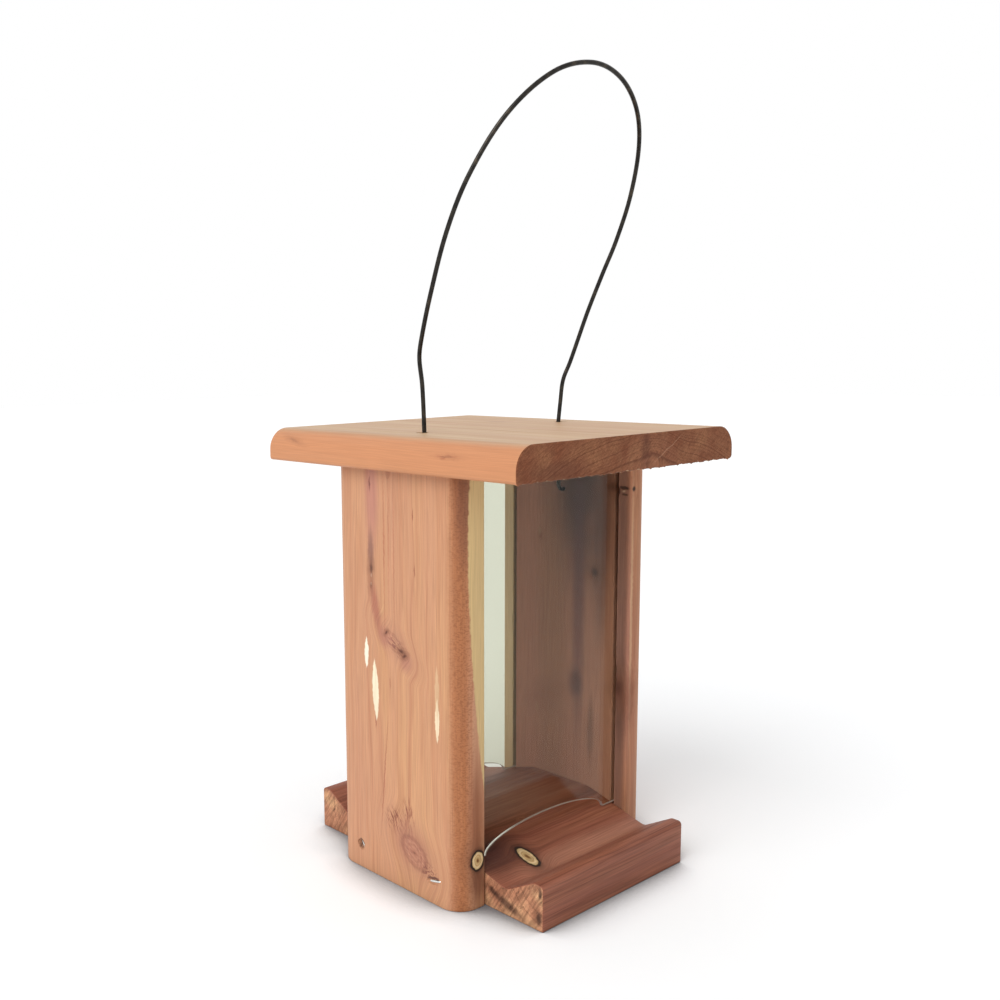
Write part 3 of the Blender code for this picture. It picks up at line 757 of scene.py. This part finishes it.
# milled cedar heartwood: reddish brown, even rings, bruised dark round a dead knot
trayWood = {
    "pith": (0.0, -104.0, 46.0),
    "turnToZ": (0, -90, 0),
    "ringWidth": 1.9,
    "drift": 7.0,
    "rosy": "#8C503C", "middle": "#965B45", "tan": "#A0654A",
    "dark": "#6E3C2B", "late": "#57291D", "streaks": 0.55, "lateShare": 0.6,
    "fibreContrast": 0.2, "roughness": 0.55, "gloss": 0.3,
    "knots": [
        mark((-28, -50.6, 17.5), (4.4, 8.2, 14), "pale", turn=(0, 0, -4)),
        mark((16, 56, 16), (5, 3.6, 14), "live"),
        mark((-6, -25, 22), (1.4, 1, 3), "pin"),
    ],
    "stains": [
        mark((-48, -38, 20), (32, 24, 20), "#402220", 0.75),
        mark((6, -4, 24), (70, 30, 12), "#BC8C7C", 0.5),
        mark((10, -60, 14), (90, 13, 9), "#C08A70", 0.55),
        # painted shade: the lip's front face is darker, turned from the key light
        mark((0, -92, 12), (120, 12, 30), "#70402F", 0.4),
        mark((-28, -50.6, 17.5), (11, 15, 16), "#40241C", 0.6, strokes=(5, 5, 5)),
    ],
    "flecks": [],
    "sawTurn": (58, 0, 0), "sawScore": (8.0, 11.0, 1.2), "sawPatch": (8.0, 6.0, 1.8),
    "sawContrast": 0.3, "endShade": 0.98, "scorchFrom": 0.6, "scorchFade": 0.14, "scorch": "#33241D",
    "end": {"rosy": "#9E6A50", "middle": "#B07C5E", "tan": "#C2946E", "dark": "#7A4C38", "late": "#4E2C20",
            "lateShare": 0.4, "streaks": 0.3, "drift": 6.0, "ringWidth": 3.2, "gloss": 0.15, "knots": [],
            "stains": [
                mark((-59, -64, 6), (12, 18, 3.6), "#4A3028", 0.8, turn=18),
                mark((-59, -54, 10), (12, 6, 2.4), "#2E1E1A", 0.7, turn=30),
                mark((-59, -86.4, 20), (12, 1.8, 5), "#30221E", 0.8),
                mark((-59, -85.8, 6.5), (12, 2.8, 5.5), "#352520", 0.8),
            ]},
}


def makeTray():
    low, high = boxOf("tray_floor")
    shape = trayShape
    valley = high[1] - shape["lipThickness"] - shape["lipSlopeRun"]
    half = [
        (high[1], 0, shape["bottomEase"]),
        (high[1], shape["lipHeight"], shape["lipOuterRound"]),
        (high[1] - shape["lipThickness"], shape["lipHeight"], shape["lipInnerRound"]),
        (valley, shape["valleyHeight"], shape["valleyRound"]),
        (shape["crownHalfWidth"], high[2], shape["crownRound"]),
    ]
    outline = roundedOutline(half + [(-y, z, radius) for y, z, radius in reversed(half)])
    outline = subdivided(outline, 6.0)
    stations, inset = sweptStations(low[0], high[0], shape["endEase"], shape["rowSpacing"])
    points, faces, groups = sweptBoard(outline, stations, inset, ((0, 1, 0), (0, 0, 1), (1, 0, 0)))
    face = cedar("milled cedar tray", trayWood)
    end = cedar("sawn cedar tray end", trayWood, sawnEnd=True)
    addPiece(
        "tray_floor_board", points, faces, [face, end], "tray_floor", "feeder_body",
        faceMaterials=groups)


makeTray()
print("tray made")

roofShape = {
    "topRound": 12.0, "bottomRound": 2.0, "endEase": 0.5, "rowSpacing": 6.0,
    "tornReach": 1.6,            # how far a torn lower edge reaches in from the end
    "tornDepth": 0.75, "tornHang": 0.8,
    "holeDiameter": 6.0,
    "holeOffset": 55.7,          # from the middle of the roof to each hole
    "holeFlare": (0.35, 0.3),    # the drill wanders and frays the lower and the upper rim
}
# a board cut through the pith: arched rings on its ends, quiet straight grain on top
roofWood = {
    "pith": (6.0, 0.0, 60.0),
    "turnToZ": (90, 0, 0),
    "ringWidth": 2.0,
    "drift": 6.0,
    "rosy": "#BF9774", "middle": "#C19D78", "tan": "#C5A37C",
    "dark": "#AE8264", "late": "#A67A58", "streaks": 0.35, "lateShare": 0.2,
    "fibreContrast": 0.07, "roughness": 0.5, "gloss": 0.4,
    "knots": [
        mark((-86, 74, 240.5), (4, 6, 0.9), "pin", 0.4, turn=12, bend=0.5),
        mark((-87, -50, 238.5), (4, 6, 0.8), "pin", 0.45, bend=0.5),
        mark((34, 30, 246), (3.4, 4.6, 14), "live", 0.5),
    ],
    "stains": [
        mark((-87.2, 0, 234), (17, 2000, 17), "#C4845A", 0.95, core=0.6),
        mark((87.2, 0, 234), (17, 2000, 17), "#C4845A", 0.95, core=0.6),
        mark((-87.2, -50, 238.5), (3, 11, 2), "#A0583C", 0.6, strokes=(2, 5, 0.6)),
    ],
    "flecks": [],
    "sawTurn": (0, 38, 0), "sawScore": (6.0, 6.0, 0.5), "sawPatch": (9.0, 9.0, 3.0),
    "sawContrast": 0.14, "endShade": 0.88, "scorchFrom": 0.76, "scorchFade": 0.07, "scorch": "#33241D",
    "end": {"rosy": "#845038", "middle": "#8C5A40", "tan": "#986648", "dark": "#6E4230", "late": "#4A281A",
            "lateShare": 0.8, "drift": 5.0, "fibreContrast": 0.22, "gloss": 0.05,
            "knots": [
                mark((14, -95.5, 230), (9, 30, 7), "live", 0.3, bend=0.9),
            ], "stains": [
                mark((9, -95.5, 238), (6, 6, 14), "#4E2C22", 0.5),
                mark((-60, -95.5, 232), (30, 30, 8), "#54302A", 0.35),
            ],
            "flecks": [
                mark((26, -95.5, 236.6), (0.45, 3, 17), "#B08468", 0.5, turn=(0, 62, 0)),
            ]},
}


def makeRoof():
    low, high = boxOf("roof")
    shape = roofShape
    half = [(high[0], low[2], shape["bottomRound"]), (high[0], high[2], shape["topRound"])]
    outline = roundedOutline(half + [(-x, z, radius) for x, z, radius in reversed(half)])
    outline = subdivided(outline, 0.8)
    stations, inset = sweptStations(low[1], high[1], shape["endEase"], shape["rowSpacing"])
    close = np.array([0.9, 1.4, 2.0, 3.0])       # extra stations, where an end's lower edge is torn
    stations = np.sort(np.concatenate((stations, low[1] + close, high[1] - close)))
    inset = np.interp(stations, [low[1], low[1] + shape["endEase"], high[1] - shape["endEase"], high[1]],
                      [shape["endEase"], 0, 0, shape["endEase"]])

    def tearEdge(drawn, along):
        # where the saw left each end's lower edge, fibres hang down or are broken away
        end = np.minimum(along - low[1], high[1] - along)
        fade = np.exp(-(end / shape["tornReach"]) ** 2)
        nearBottom = np.clip(1 - (drawn[..., 1] - low[2]) / 1.5, 0, 1)
        seed = np.where(along < 0, 0.0, 40.0)
        fray = ripple(drawn[..., 0] / 9 + seed, end / 6, 3)
        fray = fray + 0.6 * ripple(drawn[..., 0] / 2.4, end / 3 + seed, 4)
        fray = np.sign(fray) * np.clip(np.abs(fray) - 0.35, 0, 1.0)
        drawn = drawn.copy()
        drawn[..., 1] += shape["tornDepth"] * fray * fade * nearBottom
        drawn[..., 1] = np.maximum(drawn[..., 1], low[2] - shape["tornHang"])
        return drawn, along

    points, faces, groups = sweptBoard(outline, stations, inset, ((1, 0, 0), (0, 0, 1), (0, 1, 0)), tearEdge)
    eased = 3 * len(outline)     # the ends' eased edges show end grain too
    groups[:eased] = groups[-2 - eased:-2] = [1] * eased
    face = cedar("planed cedar roof", roofWood)
    end = cedar("sawn cedar roof end", roofWood, sawnEnd=True)
    roof = addPiece(
        "roof_board", points, faces, [face, end], "roof", "roof", faceMaterials=groups)
    carve(roof, [holeCutter(side * shape["holeOffset"], low[2], high[2], 60 + side) for side in (-1, 1)])


def holeCutter(x, bottom, top, seed):
    # a drilled hole: a cylinder that flares a little where it meets the two faces, with a fuzzy rim
    sides = 40
    level = np.array([bottom - 3, bottom, bottom + 0.5, top - 0.6, top, top + 3])
    lower, upper = roofShape["holeFlare"]
    flare = np.array([lower, lower, 0, 0, upper, upper])
    height, angle = np.meshgrid(level, np.linspace(0, 2 * math.pi, sides + 1)[:-1], indexing="ij")
    fuzz = ripple(np.cos(angle) * 1.5, np.sin(angle) * 1.5, seed)
    radius = roofShape["holeDiameter"] / 2 + flare[:, None] * (1 + fuzz)
    points = np.stack((x + radius * np.cos(angle), radius * np.sin(angle), height), axis=-1)
    faces = gridFaces(len(level), sides).tolist() + endCaps(len(level), sides)
    cutter = addPiece("hole cutter", points, faces, [])
    closeShape(cutter.data)
    return cutter


makeRoof()
print("roof made")

paneShape = {"portFoot": 9.7, "portRise": 11.5, "edgeEase": 0.15}
# extruded acrylic sheet: clear, faintly green, with frosted sawn edges
acrylic = {
    "tint": "#E8E9DE", "lampTint": "#EEF2EA",
    "index": 1.2,                # under acrylic's 1.49: the sheet mirrors a dim surround, not a white studio
    "edgeIndex": 1.49, "edgeRoughness": 0.45,
    # where the edge is clear, a dark brown painted shade stands in for the shaded wood seen through it
    "edgeDull": "#E4E6DE", "edgeBright": "#FBFBF7", "edgeClearPaintedShade": "#6E5348",
    "edgePaintedGlow": 0.4,             # painted light: the frosted edge glows a little, standing in for light that runs inside the sheet and leaves by its edge
    "clearFrom": -42.0, "clearTo": -22.0,        # across the sheet, the saw's frost clears here
}


def acrylicMaterials():
    clear, tree, shader = newMaterial("clear acrylic sheet")
    shader.inputs["Base Color"].default_value = linearColour(acrylic["tint"])
    shader.inputs["Transmission Weight"].default_value = 1.0
    shader.inputs["IOR"].default_value = acrylic["index"]
    shader.inputs["Roughness"].default_value = 0.0
    # light reaches what is behind the sheet, so lamp rays pass straight through it
    through = addNode(tree, "BsdfTransparent", {"Color": linearColour(acrylic["lampTint"])})
    lampRay = addNode(tree, "LightPath").outputs["Is Shadow Ray"]
    film = addNode(tree, "MixShader", {0: lampRay, 1: shader.outputs[0], 2: through})
    tree.links.new(film.outputs[0], tree.nodes["Material Output"].inputs["Surface"])
    # the sawn edge: frosted white where the saw ran in, clearer towards the other side
    edge, tree, shader = newMaterial("sawn acrylic edge")
    objectPlace = addNode(tree, "TexCoord").outputs["Object"]
    scores = addNode(tree, "TexNoise", {"Vector": objectPlace, "Scale": 900.0, "Detail": 2.0})
    tone = addNode(tree, "ValToRGB", {"Fac": scores}, stops=[
        (0.3, acrylic["edgeDull"], 1), (0.7, acrylic["edgeBright"], 1)])
    axes = addNode(tree, "SeparateXYZ", {0: objectPlace}).outputs
    cleared = addNode(tree, "MapRange", {
        "Value": axes["X"], "From Min": acrylic["clearFrom"] * mm, "From Max": acrylic["clearTo"] * mm, "To Max": 0.9,
    }, interpolation_type="SMOOTHSTEP")
    # only the outer half of its thickness is frosted
    paneLow, paneHigh = boxOf("window_back")
    depth = addNode(tree, "Math", {0: axes["Y"]}, operation="ABSOLUTE")
    inside = addNode(tree, "MapRange", {
        "Value": depth, "From Min": (paneLow[1] + 1.2) * mm, "From Max": (paneHigh[1] - 1.2) * mm,
        "To Min": 0.9, "To Max": 0.0,
    })
    cleared = addNode(tree, "Math", {0: cleared, 1: inside}, operation="MAXIMUM")
    # painted shade: the clear part of the edge takes the dark brown of the shaded wood behind it
    cover = linearColour(acrylic["edgeClearPaintedShade"])
    tone = addNode(tree, "Mix", {"Factor": cleared, "A": tone, "B": cover}, data_type="RGBA").outputs[2]
    tree.links.new(tone, shader.inputs["Base Color"])
    # painted light: the edge's tone also glows
    tree.links.new(tone, shader.inputs["Emission Color"])
    shader.inputs["Emission Strength"].default_value = acrylic["edgePaintedGlow"]
    shader.inputs["IOR"].default_value = acrylic["edgeIndex"]
    shader.inputs["Roughness"].default_value = acrylic["edgeRoughness"]
    return [clear, edge]


def makePane(node, materials):
    # a sheet with an arched seed port: half an ellipse out of its lower edge
    low, high = boxOf(node)
    foot = boxOf("tray_floor")[1][0] + 0.3 - paneShape["portFoot"]
    angle = np.linspace(math.pi, 0, 65)
    arch = np.stack((foot * np.cos(angle), low[2] + paneShape["portRise"] * np.sin(angle)), axis=1)
    corners = np.array([(high[0], low[2]), (high[0], high[2]), (low[0], high[2]), (low[0], low[2])])
    outline = np.concatenate((corners, arch))
    stations, inset = sweptStations(low[1], high[1], paneShape["edgeEase"], 4.0)
    points, faces, groups = sweptBoard(outline, stations, inset, ((1, 0, 0), (0, 0, 1), (0, 1, 0)))
    groups = [1 - group for group in groups]     # the caps are the clear faces, the sides the sawn edge
    addPiece(
        node + "_sheet", points, faces, materials, node, "feeder_body", faceMaterials=groups)


sheetMaterials = acrylicMaterials()
makePane("window_front", sheetMaterials)
makePane("window_back", sheetMaterials)
print("panes made")

bailShape = {
    "wire": 2.4, "sides": 20,
    "legDistance": 54.3,         # from the middle of the feeder to each leg
    "bendRadius": 3.5, "socketHeight": 206.0, "tip": 70.2,
    # over the roof, from left to right: X as a share of the legs' half spacing, Y, height over the roof's top
    "route": [
        (-1.000, 0.0, 0.0), (-1.010, 0.0, 14.0), (-1.030, -0.3, 26.0), (-1.078, -1.2, 39.0),
        (-1.116, -5.0, 48.5), (-1.166, -15.0, 71.0), (-1.184, -28.0, 101.0), (-1.109, -39.6, 127.0),
        (-0.862, -52.0, 155.0), (-0.442, -61.0, 175.5), (0.018, -64.4, 182.8), (0.460, -63.1, 179.7),
        (0.847, -58.0, 168.0), (1.096, -50.3, 151.0), (1.241, -39.4, 126.5), (1.267, -29.0, 103.0),
        (1.225, -21.5, 85.0), (1.182, -13.0, 64.0), (1.140, -7.0, 46.0), (1.103, -3.8, 35.0),
        (1.051, -1.0, 24.5), (1.025, -0.3, 12.0), (1.000, 0.0, 0.0),
    ],
}


def smoothRoute(knots, perSpan=9):
    # cubic spans through the knots: each tangent follows the chord between its neighbours
    start, end = knots[:-1], knots[1:]
    before, after = np.concatenate((knots[:1], knots[:-2])), np.concatenate((knots[2:], knots[-1:]))
    reach = np.linalg.norm(end - start, axis=1, keepdims=True) / 3
    leave = start + (end - before) / np.linalg.norm(end - before, axis=1, keepdims=True) * reach
    arrive = end - (after - start) / np.linalg.norm(after - start, axis=1, keepdims=True) * reach
    t = np.linspace(0, 1, perSpan + 1)[:-1][None, :, None]
    a, b, c, d = (array[:, None] for array in (start, leave, arrive, end))
    spans = a * (1 - t) ** 3 + 3 * b * t * (1 - t) ** 2 + 3 * c * t * t * (1 - t) + d * t ** 3
    return np.concatenate((spans.reshape(-1, 3), knots[-1:]))


def tube(path, halfWide, halfHigh, reference, sides):
    # a section carried along a path: its first axis is square to the path and to the reference direction;
    # both ends round off
    tangent = np.gradient(path, axis=0)
    tangent /= np.linalg.norm(tangent, axis=1)[:, None]
    first = np.cross(tangent, reference)
    first /= np.linalg.norm(first, axis=1)[:, None]
    second = np.cross(tangent, first)
    travel = np.concatenate(([0], np.cumsum(np.linalg.norm(np.diff(path, axis=0), axis=1))))
    fromEnd = np.minimum(travel, travel[-1] - travel)
    swell = np.sqrt(np.clip(1 - (1 - np.clip(fromEnd / halfWide, 0, 1)) ** 2, 0.0, 1))
    swell = np.maximum(swell, 0.02)
    angle = np.linspace(0, 2 * math.pi, sides + 1)[:-1]
    ring = halfWide * np.cos(angle)[None, :, None] * first[:, None]
    ring = ring + halfHigh * np.sin(angle)[None, :, None] * second[:, None]
    points = path[:, None] + ring * swell[:, None, None]
    return points, gridFaces(len(path), sides).tolist() + endCaps(len(path), sides)


def endCloser(path, spacing=0.15, reach=1.4):
    # adds close points at both ends of a path, where a rod's tip rounds off
    share = np.arange(0, reach, spacing)[:, None]
    first = (path[1] - path[0]) / np.linalg.norm(path[1] - path[0])
    last = (path[-2] - path[-1]) / np.linalg.norm(path[-2] - path[-1])
    return np.concatenate((path[0] + first * share, path[1:-1], (path[-1] + last * share)[::-1]))


def wireMaterial():
    # annealed black steel wire, oiled: near black with a soft highlight, browned where the oxide is thin
    wire, tree, shader = newMaterial("black annealed steel wire")
    objectPlace = addNode(tree, "TexCoord").outputs["Object"]
    mottle = addNode(tree, "TexNoise", {"Vector": objectPlace, "Scale": 260.0, "Detail": 3.0})
    tone = addNode(tree, "ValToRGB", {"Fac": mottle}, stops=[
        (0.35, "#262422", 1), (0.55, "#322F2B", 1), (0.72, "#463E34", 1),
    ])
    rough = addNode(
        tree, "MapRange", {"Value": mottle, "From Min": 0.3, "From Max": 0.7, "To Min": 0.2, "To Max": 0.34})
    scale = addNode(tree, "TexNoise", {"Vector": objectPlace, "Scale": 1800.0, "Detail": 2.0})
    bump = addNode(tree, "Bump", {"Height": scale, "Strength": 0.4, "Distance": 0.03 * mm})
    tree.links.new(tone.outputs[0], shader.inputs["Base Color"])
    tree.links.new(rough.outputs[0], shader.inputs["Roughness"])
    tree.links.new(bump.outputs[0], shader.inputs["Normal"])
    shader.inputs["Metallic"].default_value = 0.85
    return wire


def makeBail():
    shape = bailShape
    roofTop = boxOf("roof")[1][2]
    knots = np.array(shape["route"]) * (shape["legDistance"], 1, 1) + (0, 0, roofTop)
    angle = np.linspace(0, math.pi / 2, 9)
    bend = shape["bendRadius"]
    foot = np.stack((
        shape["legDistance"] + bend - bend * np.sin(angle), 0 * angle,
        shape["socketHeight"] + bend - bend * np.cos(angle)), axis=1)
    straight = np.linspace(foot[-1], (shape["legDistance"], 0, roofTop), 12)[1:-1]
    leg = np.concatenate(([(shape["tip"], 0, shape["socketHeight"])], foot, straight))
    path = np.concatenate((leg * (-1, 1, 1), smoothRoute(knots), leg[::-1]))
    points, faces = tube(endCloser(path), shape["wire"] / 2, shape["wire"] / 2, (0, 1, 0), shape["sides"])
    addPiece("wire_bail_rod", points, faces, [wireMaterial()], "wire_bail", "feeder_body", 50)


makeBail()
print("bail made")

stapleShape = {
    "crown": 9.5, "leg": 38.0, "wide": 1.4, "thick": 1.5, "corner": 1.0,
    "sink": {"left_front": -0.3, "left_back": 0.9},      # deeper or shallower than the CAD's crown
}


def stapleMaterial():
    # galvanised staple wire: bright zinc, a little scuffed by the driver
    zinc, tree, shader = newMaterial("galvanised staple wire")
    objectPlace = addNode(tree, "TexCoord").outputs["Object"]
    scuff = addNode(tree, "TexNoise", {"Vector": objectPlace, "Scale": 700.0, "Detail": 3.0})
    tone = addNode(tree, "ValToRGB", {"Fac": scuff}, stops=[(0.35, "#D2D5D2", 1), (0.7, "#F4F5F2", 1)])
    rough = addNode(
        tree, "MapRange", {"Value": scuff, "From Min": 0.3, "From Max": 0.7, "To Min": 0.3, "To Max": 0.45})
    tree.links.new(tone.outputs[0], shader.inputs["Base Color"])
    tree.links.new(rough.outputs[0], shader.inputs["Roughness"])
    shader.inputs["Metallic"].default_value = 1.0
    return zinc


def makeStaple(word, placeWord, material):
    # a U of flat wire: a crown along the panel's face with a rounded corner into each leg
    node = "staple_" + word + "_" + placeWord
    low, high = boxOf(node)
    side = -1 if word == "left" else 1
    shape = stapleShape
    sink = shape["sink"].get(word + "_" + placeWord, 0.0) + shape["wide"] / 2
    face = high[0] - sink if side > 0 else low[0] + sink
    middle = (low + high) / 2
    half, corner = (shape["crown"] - shape["wide"]) / 2, shape["corner"]
    angle = np.linspace(0, math.pi / 2, 7)
    bend = np.stack((half - corner + corner * np.sin(angle), corner * (1 - np.cos(angle))), axis=1)
    leg = np.stack((np.full(8, half), np.linspace(corner, shape["leg"] - shape["wide"], 9)[1:]), axis=1)
    right = np.concatenate((bend, leg))
    outline = np.concatenate((right[::-1] * (-1, 1), right))
    tilt = math.radians(stapleTilts[placeWord])
    c, s = math.cos(tilt), math.sin(tilt)
    path = np.stack(
        (face - side * outline[:, 1], middle[1] + outline[:, 0] * c, middle[2] + outline[:, 0] * s), axis=1)
    points, faces = tube(endCloser(path), shape["wide"] / 2, shape["thick"] / 2, (0, -s, c), 12)
    addPiece(node + "_wire", points, faces, [material], node, "feeder_body", 50)


zinc = stapleMaterial()
for word in ("left", "right"):
    for placeWord in stapleTilts:
        makeStaple(word, placeWord, zinc)
print("staples made")
